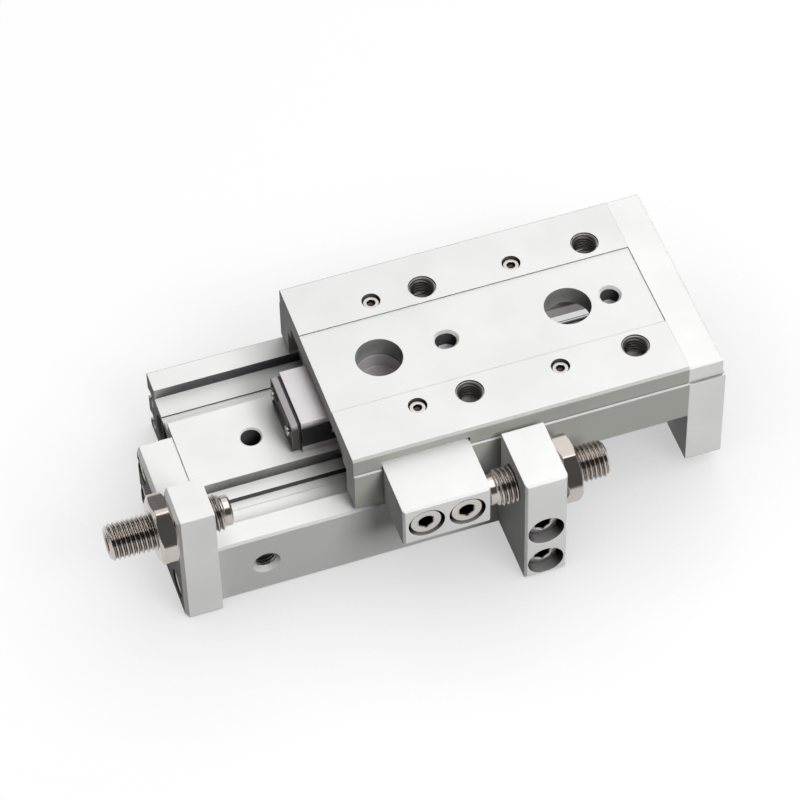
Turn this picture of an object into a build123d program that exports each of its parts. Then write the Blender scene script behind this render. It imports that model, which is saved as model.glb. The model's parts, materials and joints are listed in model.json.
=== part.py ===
from build123d import *
import os

# Air slide table with two cylinders side by side, in millimetres.
# X runs along the stroke, towards the end plate. Y runs across, and the
# stroke stops stand on its minus side. Z is up from the mounting face.
# The origin is the middle of the mounting face. The table is drawn at full
# extension, with its stopper block against the front adjuster.

os.makedirs("parts", exist_ok=True)

# Body sizes
body_length = 72.0
body_width = 50.0
bore_diameter = 12.0
bore_spacing = 27.0
base_wall = 1.2
roof_wall = 1.3
channel_depth = 2.8
strip_width = 5.5
deck_width = 18.4
deck_rise = 4.0
shoulder_width = 2.9
shoulder_rise = 1.0
groove_width = 2.3
groove_depth = 0.4
edge_break = 0.5
port_radius = 2.1
port_mouth_radius = 3.0
port_depth = 4.5
port_rise = 1.3
port_inset = 10.5
front_port_inset = 15.6
passage_radius = 1.25
sensor_slot_radius = 2.0
sensor_slot_mouth = 2.8
sensor_slot_inset = 2.1
sensor_slot_pitch = 7.4
mount_hole_radius = 2.15
mount_hole_mouth = 2.5
mount_hole_inset = 15.35
mount_hole_pitch = 28.5

# Screws by thread: shank radius, head radius, head height, key width
m3_shank = 1.45
m3_head = 2.75
m3_head_height = 3.0
m3_key = 2.5
m4_shank = 1.95
m4_head = 3.5
m4_head_height = 4.0
m4_key = 3.0
tap_clearance = 0.05
hole_clearance = 0.25
head_clearance = 0.4
head_sink = 0.3

# Guide sizes
block_width = 15.4
block_height = 9.0
block_length = 39.0
block_inset = 24.3
block_screw_pitch = 19.0
block_screw_counterbore = 3.9
block_counterbore_radius = 5.0
block_counterbore_depth = 3.5
block_break = 0.4
ball_radius = 1.5
ball_height = 5.1
ball_pitch = 3.05
ball_inset = 8.0
ball_clearance = 0.08
retainer_thickness = 0.35
retainer_height = 5.4
retainer_window = 3.4
return_radius = 1.6
return_offset = 4.7
return_height = 3.1
cap_length = 0.6
cap_drop = 0.4
cap_corner = 1.2
seal_length = 1.4
seal_rim = 0.8
seal_recess = 0.4
seal_boss = 1.6
cap_screw_radius = 0.6
cap_screw_head = 1.1
cap_screw_head_height = 0.6
cap_screw_key = 0.9
cap_screw_spacing = 10.0
rail_gap = 0.8
rail_width = 8.9
rail_height = 9.0
rail_inset = 1.5
rail_pad_drop = 3.3

# Table sizes
stroke = 25.5
table_length = 73.0
table_ahead = 31.0
plate_thickness = 4.6
plate_gap = 0.6
strip_rise = 0.3
centre_width = 21.8
skirt_gap = 0.8
skirt_width = 5.5
ledge_depth = 0.5
ledge_drop = 4.8
end_plate_length = 8.0
end_plate_lift = 3.6
access_radius = 5.0
access_pitch = 41.5
thread_front_inset = 8.3
thread_hole_pitch = 36.3
thread_hole_spacing = 30.0
insert_radius = 3.0
insert_bore = 2.1
pin_radius = 2.0
pin_slot_length = 4.6
pin_break = 0.55
pin_depth = 4.0
rail_screw_front_inset = 24.8
rail_screw_pitch = 31.1
rail_screw_spacing = 29.9
rail_screw_grip = 5.0
rail_screw_key = 2.0

# Stroke stop sizes
stopper_length = 18.8
stopper_depth = 12.4
stopper_height = 10.9
stopper_stand_off = 6.2
stopper_lift = 0.2
stopper_screw_pitch = 8.75
slot_depth = 1.5
slot_side_gap = 0.1
slot_head_gap = 1.3
adjuster_radius = 3.95
adjuster_length = 26.0
adjuster_tip_radius = 3.2
adjuster_tip_length = 1.6
adjuster_key = 4.0
adjuster_key_depth = 4.0
thread_clearance = 0.08
stop_gap = 0.1
nut_width = 13.0
nut_height = 4.0
nut_corner_radius = 7.3
front_nut_turn = -10
rear_nut_turn = 17
holder_length = 9.1
holder_depth = 16.0
holder_height = 30.6
holder_front_inset = 1.7
holder_relief = 1.2
holder_counterbore_depth = 6.0
holder_tap_depth = 4.5
holder_screw_lift = 4.3
holder_screw_pitch = 10.1
bracket_length = 8.0
bracket_break = 0.8
bracket_proud = 2.2
bracket_span = 32.8
bracket_drop = 0.3
lug_width = 10.0
lug_height = 31.6
rear_axis_drop = 6.2
base_clearance = 0.4
bracket_screw_edge = 5.3
bracket_far_screw_edge = 3.6
bracket_tap_depth = 9.0
bracket_screw_lift = 5.4
bracket_far_screw_pitch = 8.5

# Cylinder sizes
rod_radius = 3.0
rod_clearance = 0.05
spigot_radius = 2.0
piston_length = 12.0
piston_clearance = 0.1
piston_front_gap = 4.3
cover_clearance = 0.03
head_cover_length = 4.0
rod_cover_length = 12.1
ring_thickness = 1.0
ring_inset = 0.8
ring_groove_depth = 0.55
ring_section = 1.5
ring_mouth = 3.0
ring_play = 0.05
o_ring_section = 1.0
o_ring_width = 1.4
rod_seal_section = 1.5
rod_seal_width = 2.0
piston_seal_width = 1.6
piston_seal_edge = 1.2
magnet_width = 2.8
magnet_wall = 1.4
groove_floor = 1.45
bumper_thickness = 1.0
bumper_radius = 5.0
rod_thread_depth = 8.0
end_screw_grip = 9.0
end_screw_high = 5.4
end_screw_low = 11.8
end_screw_edge = 3.4
end_screw_high_edge = 4.5

# Heights and widths that follow from them
half_width = body_width / 2
body_rear = -body_length / 2
body_front = body_length / 2
bore_radius = bore_diameter / 2
bore_y = bore_spacing / 2
bore_z = base_wall + bore_radius
floor_z = base_wall + bore_diameter + roof_wall
strip_z = floor_z + channel_depth
deck_z = floor_z + deck_rise
shoulder_z = floor_z + shoulder_rise
deck_half = deck_width / 2
shoulder_half = deck_half + shoulder_width
groove_half = shoulder_half + groove_width
m3_tap = m3_shank + tap_clearance
m4_tap = m4_shank + tap_clearance
m3_hole = m3_shank + hole_clearance
m4_hole = m4_shank + hole_clearance
m3_counterbore = m3_head + hole_clearance
m4_counterbore = m4_head + head_clearance
m3_sink = m3_head_height + head_sink
m4_sink = m4_head_height + head_sink

block_front = body_rear + block_inset + block_length
block_rear = body_rear + block_inset
block_middle = (block_front + block_rear) / 2
block_half = block_width / 2
block_top = deck_z + block_height
ball_y = block_half + rail_gap / 2
ball_z = deck_z + ball_height
groove_radius = ball_radius + ball_clearance
mount_x = body_rear + mount_hole_inset
block_mount_x = mount_x + mount_hole_pitch
block_screw_x = (
    block_mount_x - block_screw_pitch / 2,
    block_mount_x + block_screw_pitch / 2,
)

under_z = block_top + plate_gap
centre_z = under_z + plate_thickness
top_z = centre_z + strip_rise
skirt_z = strip_z + skirt_gap
ledge_z = top_z - ledge_drop
table_front = body_front + table_ahead
table_rear = table_front - table_length
end_front = table_front + end_plate_length
rail_inner = block_half + rail_gap
rail_outer = rail_inner + rail_width
rail_rear = table_rear + rail_inset
rail_length = table_length - 2 * rail_inset
skirt_inner = half_width - skirt_width
pad_z = under_z - rail_pad_drop
upper_half = half_width - ledge_depth
access_x = block_mount_x
thread_x = table_front - thread_front_inset - thread_hole_pitch
rail_screw_x = table_front - rail_screw_front_inset - rail_screw_pitch

holder_front = body_front - holder_front_inset
holder_rear = holder_front - holder_length
stopper_front = holder_rear - stopper_stand_off
stopper_rear = stopper_front - stopper_length
stopper_z = skirt_z + stopper_lift
stopper_near = -half_width - stopper_depth
stopper_seat = -half_width + slot_depth
stopper_middle = stopper_rear + stopper_length / 2
front_axis_z = stopper_z + stopper_height / 2
holder_near = -half_width - holder_depth
front_axis_y = -half_width - (holder_depth + holder_relief) / 2
front_tip_x = stopper_front + stop_gap
bracket_rear = body_rear - bracket_length
bracket_near = -half_width - bracket_proud
bracket_far = bracket_near + bracket_span
rear_axis_y = bracket_near + lug_width / 2
rear_axis_z = base_clearance + lug_height - rear_axis_drop
rear_tip_x = table_rear - stroke - stop_gap
bolt_hole = adjuster_radius + thread_clearance


def cap_screw(seat, shank, head, head_height, key, grip):
    """Adds a socket-head screw. The seat plane is under the head, facing out."""
    with Locations(seat):
        Cylinder(head, head_height, align=(Align.CENTER, Align.CENTER, Align.MIN))
        Cylinder(shank, grip, align=(Align.CENTER, Align.CENTER, Align.MAX))
    with BuildSketch(seat.offset(head_height)) as socket:
        RegularPolygon(key / 2, 6, major_radius=False)
    extrude(socket.sketch, amount=-head_height / 2, mode=Mode.SUBTRACT)


def ring(centre, outer, inner, width):
    """Adds a plain ring about an X axis, starting at its centre point."""
    with BuildSketch(facing_front(*centre)) as section:
        Circle(outer)
        Circle(inner, mode=Mode.SUBTRACT)
    extrude(section.sketch, amount=width)


def facing_rear(x, y, z):
    return Plane(origin=(x, y, z), x_dir=(0, -1, 0), z_dir=(-1, 0, 0))


def facing_front(x, y, z):
    return Plane(origin=(x, y, z), x_dir=(0, 1, 0), z_dir=(1, 0, 0))


def facing_near(x, y, z):
    return Plane(origin=(x, y, z), x_dir=(1, 0, 0), z_dir=(0, -1, 0))


def save(piece, name):
    piece.part.label = name
    export_step(piece.part, f"parts/{name}.step")


# Body: one aluminium extrusion, bored and drilled
near_ports = (body_rear + port_inset, body_front - front_port_inset)
holder_screws = [
    (holder_rear + holder_length / 2, base_clearance + holder_screw_lift),
    (holder_rear + holder_length / 2, base_clearance + holder_screw_lift + holder_screw_pitch),
]
bracket_screws = [
    (bracket_near + bracket_screw_edge, base_clearance + bracket_screw_lift),
    (bracket_far - bracket_far_screw_edge, base_clearance + bracket_screw_lift),
    (bracket_far - bracket_far_screw_edge, base_clearance + bracket_screw_lift + bracket_far_screw_pitch),
]
head_ring_x = body_rear + ring_inset
rod_ring_x = body_front - ring_inset - ring_thickness
head_cover_rear = head_ring_x + ring_thickness + ring_play
rod_cover_front = rod_ring_x - ring_play
rod_cover_rear = rod_cover_front - rod_cover_length

with BuildPart() as body:
    with BuildSketch(Plane.YZ.offset(body_rear)):
        with BuildLine():
            Polyline(
                (0, 0),
                (half_width - edge_break, 0),
                (half_width, edge_break),
                (half_width, strip_z - edge_break),
                (half_width - edge_break, strip_z),
                (half_width - strip_width, strip_z),
                (half_width - strip_width, floor_z),
                (groove_half, floor_z),
                (groove_half, floor_z - groove_depth),
                (shoulder_half, floor_z - groove_depth),
                (shoulder_half, shoulder_z),
                (deck_half, shoulder_z),
                (deck_half, deck_z),
                (0, deck_z),
                close=True,
            )
        make_face()
        mirror(about=Plane.YZ)
    extrude(amount=body_length)
    with BuildSketch(Plane.YZ.offset(body_rear)):
        for slot_z in (bore_z - sensor_slot_pitch / 2, bore_z + sensor_slot_pitch / 2):
            with Locations((half_width - sensor_slot_inset, slot_z)):
                Circle(sensor_slot_radius)
                Rectangle(2 * sensor_slot_inset, sensor_slot_mouth, align=(Align.MIN, Align.CENTER))
        with Locations((bore_y, bore_z), (-bore_y, bore_z)):
            Circle(bore_radius)
    extrude(amount=body_length, mode=Mode.SUBTRACT)
    for side in (bore_y, -bore_y):
        for ring_x in (head_ring_x, rod_ring_x):
            with Locations(facing_front(ring_x, side, bore_z)):
                Cylinder(
                    bore_radius + ring_groove_depth,
                    ring_thickness + ring_play,
                    align=(Align.CENTER, Align.CENTER, Align.MIN),
                    mode=Mode.SUBTRACT,
                )
    for port_x in near_ports:
        with Locations(facing_near(port_x, -half_width, bore_z + port_rise)):
            CounterSinkHole(port_radius, port_mouth_radius, depth=port_depth, counter_sink_angle=90)
            Hole(passage_radius, depth=half_width + bore_y)
    with Locations((mount_x, 0, deck_z), (block_mount_x, 0, deck_z)):
        CounterSinkHole(mount_hole_radius, mount_hole_mouth, counter_sink_angle=90)
    with Locations(*[(x, 0, deck_z) for x in block_screw_x]):
        Hole(m4_tap, depth=deck_rise + block_counterbore_depth)
    for x, z in holder_screws:
        with Locations(facing_near(x, -half_width, z)):
            Hole(m4_tap, depth=holder_tap_depth)
    for y, z in bracket_screws:
        with Locations(facing_rear(body_rear, y, z)):
            Hole(m3_tap, depth=bracket_tap_depth)
save(body, "body")

# Guide block: ground steel, with a ball groove down each side
with BuildPart() as guide_block:
    with BuildSketch(Plane.YZ.offset(block_rear)):
        with Locations((0, deck_z + block_height / 2)):
            Rectangle(block_width, block_height)
        chamfer(vertices(), block_break)
        with Locations((ball_y, ball_z), (-ball_y, ball_z)):
            Circle(groove_radius, mode=Mode.SUBTRACT)
        with Locations((return_offset, deck_z + return_height), (-return_offset, deck_z + return_height)):
            Circle(return_radius, mode=Mode.SUBTRACT)
    extrude(amount=block_length)
    with Locations((block_mount_x, 0, block_top)):
        CounterBoreHole(m4_hole, block_counterbore_radius, block_counterbore_depth)
    with Locations(*[(x, 0, block_top) for x in block_screw_x]):
        CounterBoreHole(m4_hole, block_screw_counterbore, block_counterbore_depth)
save(guide_block, "guide_block")

with BuildPart() as guide_block_screws:
    for x in block_screw_x:
        seat = Plane(origin=(x, 0, block_top - block_counterbore_depth))
        low_head = block_counterbore_depth - head_sink
        screw_grip = block_height - block_counterbore_depth + deck_rise
        cap_screw(seat, m4_shank, m4_head, low_head, m4_key, screw_grip)
save(guide_block_screws, "guide_block_screws")

ball_count = int((block_length - 2 * ball_inset) // ball_pitch) + 1
first_ball = block_middle - (ball_count - 1) * ball_pitch / 2
with BuildPart() as guide_balls:
    for index in range(ball_count):
        with Locations(
            (first_ball + index * ball_pitch, ball_y, ball_z),
            (first_ball + index * ball_pitch, -ball_y, ball_z),
        ):
            Sphere(ball_radius)
save(guide_balls, "guide_balls")

# Ball retainers: resin strips on the block's sides, open along the loaded row
window_length = block_length - 2 * ball_inset + retainer_window
with BuildPart() as ball_retainers:
    for side_y in (block_half, -block_half - retainer_thickness):
        with BuildSketch(Plane.XZ.offset(-side_y)):
            with Locations((block_middle, ball_z)):
                Rectangle(block_length, retainer_height)
                SlotOverall(window_length, retainer_window, mode=Mode.SUBTRACT)
        extrude(amount=-retainer_thickness)
save(ball_retainers, "ball_retainers")


# Ball return caps and end seals close the guide block at both ends
def end_cover(start_x, drop, thickness):
    with BuildSketch(Plane.YZ.offset(start_x)) as outline:
        with Locations((0, deck_z + (block_height - drop) / 2)):
            RectangleRounded(block_width - drop, block_height - 2 * drop, cap_corner)
        with Locations((cap_screw_spacing / 2, ball_z), (-cap_screw_spacing / 2, ball_z)):
            Circle(cap_screw_radius + tap_clearance, mode=Mode.SUBTRACT)
    extrude(outline.sketch, amount=thickness)


with BuildPart() as end_cap_rear:
    end_cover(block_rear - cap_length, cap_drop, cap_length)
save(end_cap_rear, "end_cap_rear")

with BuildPart() as end_cap_front:
    end_cover(block_front, cap_drop, cap_length)
save(end_cap_front, "end_cap_front")

def seal_pocket(face):
    """Lowers a seal's outer face inside its rim, but for a boss around each screw."""
    with BuildSketch(face) as pocket:
        RectangleRounded(
            block_width - cap_drop - 2 * seal_rim,
            block_height - 2 * cap_drop - 2 * seal_rim,
            cap_corner - seal_rim,
        )
        with Locations((cap_screw_spacing / 2, boss_drop), (-cap_screw_spacing / 2, boss_drop)):
            Circle(seal_boss, mode=Mode.SUBTRACT)
    extrude(pocket.sketch, amount=-seal_recess, mode=Mode.SUBTRACT)


seal_middle_z = deck_z + (block_height - cap_drop) / 2
boss_drop = ball_z - seal_middle_z

with BuildPart() as end_seal_rear:
    end_cover(block_rear - cap_length - seal_length, cap_drop, seal_length)
    seal_pocket(facing_rear(block_rear - cap_length - seal_length, 0, seal_middle_z))
save(end_seal_rear, "end_seal_rear")

with BuildPart() as end_seal_front:
    end_cover(block_front + cap_length, cap_drop, seal_length)
    seal_pocket(facing_front(block_front + cap_length + seal_length, 0, seal_middle_z))
save(end_seal_front, "end_seal_front")

with BuildPart() as end_cap_screws:
    cap_stack = cap_length + seal_length
    for y in (cap_screw_spacing / 2, -cap_screw_spacing / 2):
        for seat in (
            facing_rear(block_rear - cap_stack, y, ball_z),
            facing_front(block_front + cap_stack, y, ball_z),
        ):
            cap_screw(
                seat, cap_screw_radius, cap_screw_head, cap_screw_head_height, cap_screw_key, cap_stack
            )
save(end_cap_screws, "end_cap_screws")

# Cylinder covers: a plug at the rear and a rod bearing at the front of each bore
cover_radius = bore_radius - cover_clearance
o_ring_floor = cover_radius - o_ring_section
head_groove_x = head_cover_rear + (head_cover_length - o_ring_width) / 2


def head_cover(side):
    with Locations(facing_front(head_cover_rear, side, bore_z)):
        Cylinder(cover_radius, head_cover_length, align=(Align.CENTER, Align.CENTER, Align.MIN))
    with BuildSketch(facing_front(head_groove_x, side, bore_z)) as groove:
        Circle(bore_radius)
        Circle(o_ring_floor, mode=Mode.SUBTRACT)
    extrude(groove.sketch, amount=o_ring_width, mode=Mode.SUBTRACT)


def rod_cover(side):
    with BuildSketch(facing_front(rod_cover_rear, side, bore_z)) as sleeve:
        Circle(cover_radius)
        Circle(rod_radius + rod_clearance, mode=Mode.SUBTRACT)
    extrude(sleeve.sketch, amount=rod_cover_length)
    with BuildSketch(facing_front(rod_cover_rear + o_ring_width, side, bore_z)) as groove:
        Circle(bore_radius)
        Circle(o_ring_floor, mode=Mode.SUBTRACT)
    extrude(groove.sketch, amount=o_ring_width, mode=Mode.SUBTRACT)
    with BuildSketch(facing_front(rod_cover_front - rod_seal_width, side, bore_z)) as recess:
        Circle(rod_radius + rod_clearance + rod_seal_section)
    extrude(recess.sketch, amount=rod_seal_width, mode=Mode.SUBTRACT)


with BuildPart() as head_cover_near:
    head_cover(-bore_y)
save(head_cover_near, "head_cover_near")

with BuildPart() as head_cover_far:
    head_cover(bore_y)
save(head_cover_far, "head_cover_far")

with BuildPart() as rod_cover_near:
    rod_cover(-bore_y)
save(rod_cover_near, "rod_cover_near")

with BuildPart() as rod_cover_far:
    rod_cover(bore_y)
save(rod_cover_far, "rod_cover_far")

with BuildPart() as cover_o_rings:
    for side in (bore_y, -bore_y):
        ring((head_groove_x, side, bore_z), cover_radius, o_ring_floor, o_ring_width)
        ring((rod_cover_rear + o_ring_width, side, bore_z), cover_radius, o_ring_floor, o_ring_width)
save(cover_o_rings, "cover_o_rings")

with BuildPart() as rod_seals:
    for side in (bore_y, -bore_y):
        inner = rod_radius + rod_clearance
        outer = inner + rod_seal_section
        ring((rod_cover_front - rod_seal_width, side, bore_z), outer, inner, rod_seal_width)
save(rod_seals, "rod_seals")

# Retaining rings: open steel rings that snap into the ends of the bores
ring_outer = bore_radius + ring_groove_depth - ring_play
with BuildPart() as retaining_rings:
    for side in (bore_y, -bore_y):
        for ring_x in (head_ring_x, rod_ring_x):
            with BuildSketch(facing_front(ring_x, side, bore_z)):
                Circle(ring_outer)
                Circle(ring_outer - ring_section, mode=Mode.SUBTRACT)
                with Locations((0, -ring_outer)):
                    Rectangle(ring_mouth, 3 * ring_section, mode=Mode.SUBTRACT)
            extrude(amount=ring_thickness)
save(retaining_rings, "retaining_rings")

# Adjuster holder: aluminium block on the body's near side, clear of the table
with BuildPart() as adjuster_holder:
    with BuildSketch(Plane.YZ.offset(holder_rear)):
        with BuildLine():
            Polyline(
                (holder_near, base_clearance),
                (-half_width, base_clearance),
                (-half_width, strip_z - edge_break),
                (-half_width - holder_relief, strip_z - edge_break),
                (-half_width - holder_relief, base_clearance + holder_height),
                (holder_near, base_clearance + holder_height),
                close=True,
            )
        make_face()
    extrude(amount=holder_length)
    chamfer(adjuster_holder.faces().sort_by(Axis.Y)[0].edges(), edge_break)
    with Locations(facing_front(holder_front, front_axis_y, front_axis_z)):
        Hole(bolt_hole)
    for x, z in holder_screws:
        with Locations(facing_near(x, holder_near, z)):
            CounterBoreHole(m4_hole, m4_counterbore, holder_counterbore_depth)
save(adjuster_holder, "adjuster_holder")

with BuildPart() as adjuster_holder_screws:
    for x, z in holder_screws:
        seat = facing_near(x, holder_near + holder_counterbore_depth, z)
        screw_grip = holder_depth - holder_counterbore_depth + holder_tap_depth - head_sink
        cap_screw(seat, m4_shank, m4_head, m4_head_height, m4_key, screw_grip)
save(adjuster_holder_screws, "adjuster_holder_screws")

# Rear bracket: aluminium, with a lug that holds the rear adjuster
with BuildPart() as rear_bracket:
    with BuildSketch(Plane.YZ.offset(bracket_rear)):
        with BuildLine():
            Polyline(
                (bracket_near, base_clearance),
                (bracket_far, base_clearance),
                (bracket_far, deck_z - bracket_drop),
                (bracket_near + lug_width, deck_z - bracket_drop),
                (bracket_near + lug_width, base_clearance + lug_height),
                (bracket_near, base_clearance + lug_height),
                close=True,
            )
        make_face()
    extrude(amount=bracket_length)
    chamfer(rear_bracket.faces().sort_by(Axis.X)[0].edges(), bracket_break)
    with Locations(facing_rear(bracket_rear, rear_axis_y, rear_axis_z)):
        Hole(bolt_hole)
    for y, z in bracket_screws:
        with Locations(facing_rear(bracket_rear, y, z)):
            CounterBoreHole(m3_hole, m3_counterbore, m3_sink)
save(rear_bracket, "rear_bracket")

with BuildPart() as rear_bracket_screws:
    for y, z in bracket_screws:
        seat = facing_rear(bracket_rear + m3_sink, y, z)
        screw_grip = bracket_length - m3_sink + bracket_tap_depth - head_sink
        cap_screw(seat, m3_shank, m3_head, m3_head_height, m3_key, screw_grip)
save(rear_bracket_screws, "rear_bracket_screws")

# Table: milled from one extrusion, with skirts that hang over the body
end_screws = [
    (side * (half_width - edge), top_z - drop)
    for side in (1, -1)
    for edge, drop in ((end_screw_high_edge, end_screw_high), (end_screw_edge, end_screw_low))
]
stopper_screw_x = (stopper_middle - stopper_screw_pitch / 2, stopper_middle + stopper_screw_pitch / 2)
thread_centre = (thread_x + thread_hole_pitch / 2, 0)
rail_screw_centre = (rail_screw_x + rail_screw_pitch / 2, 0)


with BuildPart() as table:
    with BuildSketch(Plane.YZ.offset(table_rear)):
        with BuildLine():
            Polyline(
                (0, under_z),
                (rail_outer, under_z),
                (rail_outer, pad_z),
                (skirt_inner, pad_z),
                (skirt_inner, skirt_z),
                (half_width, skirt_z),
                (half_width, ledge_z),
                (upper_half, ledge_z),
                (upper_half, top_z - edge_break),
                (upper_half - edge_break, top_z),
                (centre_width / 2, top_z),
                (centre_width / 2, centre_z),
                (0, centre_z),
                close=True,
            )
        make_face()
        mirror(about=Plane.YZ)
    extrude(amount=table_length)
    with Locations((stopper_rear - slot_side_gap, -half_width, skirt_z)):
        Box(
            stopper_length + 2 * slot_side_gap,
            slot_depth,
            stopper_lift + stopper_height + slot_head_gap,
            align=(Align.MIN, Align.MIN, Align.MIN),
            mode=Mode.SUBTRACT,
        )
    with Locations((access_x, 0, centre_z), (access_x + access_pitch, 0, centre_z)):
        Hole(access_radius)
    with Locations(Location((*thread_centre, top_z))):
        with GridLocations(thread_hole_pitch, thread_hole_spacing, 2, 2):
            Hole(insert_radius, depth=top_z - under_z)
    with Locations(Location((*rail_screw_centre, top_z))):
        with GridLocations(rail_screw_pitch, rail_screw_spacing, 2, 2):
            Hole(m4_tap, depth=top_z - under_z)
    with BuildSketch(Plane.XY.offset(centre_z)):
        with Locations((thread_x, 0)):
            SlotOverall(pin_slot_length, 2 * pin_radius)
        with Locations((thread_x + thread_hole_pitch, 0)):
            Circle(pin_radius)
    extrude(amount=-pin_depth, mode=Mode.SUBTRACT)
    with BuildSketch(Plane.XY.offset(centre_z)):
        with Locations((thread_x, 0)):
            SlotOverall(pin_slot_length + 2 * pin_break, 2 * (pin_radius + pin_break))
        with Locations((thread_x + thread_hole_pitch, 0)):
            Circle(pin_radius + pin_break)
    extrude(amount=-pin_break, taper=45, mode=Mode.SUBTRACT)
    for y, z in end_screws:
        with Locations(facing_front(table_front, y, z)):
            Hole(m3_tap, depth=end_screw_grip)
    for x in stopper_screw_x:
        with Locations(facing_near(x, stopper_seat, front_axis_z)):
            Hole(m4_tap, depth=skirt_width - slot_depth)
save(table, "table")

with BuildPart() as thread_inserts:
    with BuildSketch(Plane.XY.offset(under_z)):
        with Locations(thread_centre):
            with GridLocations(thread_hole_pitch, thread_hole_spacing, 2, 2):
                Circle(insert_radius)
                Circle(insert_bore, mode=Mode.SUBTRACT)
    extrude(amount=top_z - under_z - head_sink)
save(thread_inserts, "thread_inserts")

# Rails: ground steel bars under the table, each with one ball groove
def rail(side):
    with BuildSketch(Plane.YZ.offset(rail_rear)) as section:
        with Locations((side * (rail_inner + rail_outer) / 2, under_z - rail_height / 2)):
            Rectangle(rail_width, rail_height)
        chamfer(vertices(), block_break)
        with Locations((side * ball_y, ball_z)):
            Circle(groove_radius, mode=Mode.SUBTRACT)
    extrude(section.sketch, amount=rail_length)
    for x in (rail_screw_x, rail_screw_x + rail_screw_pitch):
        with Locations((x, side * rail_screw_spacing / 2, under_z)):
            Hole(m4_tap, depth=rail_screw_grip)


with BuildPart() as rail_near:
    rail(-1)
save(rail_near, "rail_near")

with BuildPart() as rail_far:
    rail(1)
save(rail_far, "rail_far")

with BuildPart() as rail_screws:
    screw_length = top_z - under_z - head_sink + rail_screw_grip - head_sink
    with Locations(Location((*rail_screw_centre, top_z - head_sink))):
        with GridLocations(rail_screw_pitch, rail_screw_spacing, 2, 2):
            Cylinder(m4_shank, screw_length, align=(Align.CENTER, Align.CENTER, Align.MAX))
    with BuildSketch(Plane.XY.offset(top_z - head_sink)):
        with Locations(rail_screw_centre):
            with GridLocations(rail_screw_pitch, rail_screw_spacing, 2, 2):
                RegularPolygon(rail_screw_key / 2, 6, major_radius=False)
    extrude(amount=-m4_shank, mode=Mode.SUBTRACT)
save(rail_screws, "rail_screws")

# End plate: closes the table's front and carries both piston rods
with BuildPart() as end_plate:
    with BuildSketch(Plane.XY.offset(end_plate_lift)):
        with Locations((table_front, 0)):
            Rectangle(end_plate_length, body_width, align=(Align.MIN, Align.CENTER))
    extrude(amount=ledge_z - end_plate_lift)
    with BuildSketch(Plane.XY.offset(ledge_z)):
        with Locations((table_front, 0)):
            Rectangle(end_plate_length - ledge_depth, 2 * upper_half, align=(Align.MIN, Align.CENTER))
    extrude(amount=top_z - ledge_z)
    top_rim = end_plate.faces().sort_by(Axis.Z)[-1].edges().sort_by(Axis.X)[1:]
    chamfer(top_rim, edge_break)
    for y, z in end_screws:
        with Locations(facing_front(end_front, y, z)):
            CounterBoreHole(m3_hole, m3_counterbore, m3_sink)
    for side in (bore_y, -bore_y):
        with Locations(facing_front(end_front, side, bore_z)):
            CounterBoreHole(m3_hole, m3_counterbore, m3_sink)
save(end_plate, "end_plate")

with BuildPart() as end_plate_screws:
    for y, z in end_screws:
        screw_grip = end_plate_length - m3_sink + end_screw_grip - head_sink
        seat = facing_front(end_front - m3_sink, y, z)
        cap_screw(seat, m3_shank, m3_head, m3_head_height, m3_key, screw_grip)
save(end_plate_screws, "end_plate_screws")

with BuildPart() as rod_bolts:
    for side in (bore_y, -bore_y):
        screw_grip = end_plate_length - m3_sink + rod_thread_depth - head_sink
        seat = facing_front(end_front - m3_sink, side, bore_z)
        cap_screw(seat, m3_shank, m3_head, m3_head_height, m3_key, screw_grip)
save(rod_bolts, "rod_bolts")

# Stopper block: aluminium, set in a slot of the table's near skirt
with BuildPart() as stopper_block:
    with Locations((stopper_rear, stopper_near, stopper_z)):
        Box(
            stopper_length,
            stopper_seat - stopper_near,
            stopper_height,
            align=(Align.MIN, Align.MIN, Align.MIN),
        )
    chamfer(stopper_block.faces().sort_by(Axis.Y)[0].edges(), edge_break)
    for x in stopper_screw_x:
        with Locations(facing_near(x, stopper_near, front_axis_z)):
            CounterBoreHole(m4_hole, m4_counterbore, m4_sink)
save(stopper_block, "stopper_block")

with BuildPart() as stopper_block_screws:
    for x in stopper_screw_x:
        screw_grip = stopper_seat - stopper_near - m4_sink + skirt_width - slot_depth - head_sink
        seat = facing_near(x, stopper_near + m4_sink, front_axis_z)
        cap_screw(seat, m4_shank, m4_head, m4_head_height, m4_key, screw_grip)
save(stopper_block_screws, "stopper_block_screws")

# Piston rods and pistons
piston_front = rod_cover_rear - piston_front_gap
piston_rear = piston_front - piston_length
piston_radius = bore_radius - piston_clearance
seal_floor = piston_radius - groove_floor
seal_x = (piston_rear + piston_seal_edge, piston_front - piston_seal_edge - piston_seal_width)
magnet_x = (piston_rear + piston_front - magnet_width) / 2


def piston_rod(side):
    with Locations(facing_front(piston_front, side, bore_z)):
        Cylinder(rod_radius, table_front - piston_front, align=(Align.CENTER, Align.CENTER, Align.MIN))
        Cylinder(spigot_radius, piston_length, align=(Align.CENTER, Align.CENTER, Align.MAX))
    with Locations(facing_front(table_front, side, bore_z)):
        Hole(m3_tap, depth=rod_thread_depth)


def piston(side):
    with BuildSketch(facing_front(piston_rear, side, bore_z)) as disc:
        Circle(piston_radius)
        Circle(spigot_radius + tap_clearance, mode=Mode.SUBTRACT)
    extrude(disc.sketch, amount=piston_length)
    seal_grooves = [(x, piston_seal_width) for x in seal_x]
    for groove_x, width in (*seal_grooves, (magnet_x, magnet_width)):
        with BuildSketch(facing_front(groove_x, side, bore_z)) as groove:
            Circle(bore_radius)
            Circle(seal_floor, mode=Mode.SUBTRACT)
        extrude(groove.sketch, amount=width, mode=Mode.SUBTRACT)


with BuildPart() as piston_rod_near:
    piston_rod(-bore_y)
save(piston_rod_near, "piston_rod_near")

with BuildPart() as piston_rod_far:
    piston_rod(bore_y)
save(piston_rod_far, "piston_rod_far")

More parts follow.
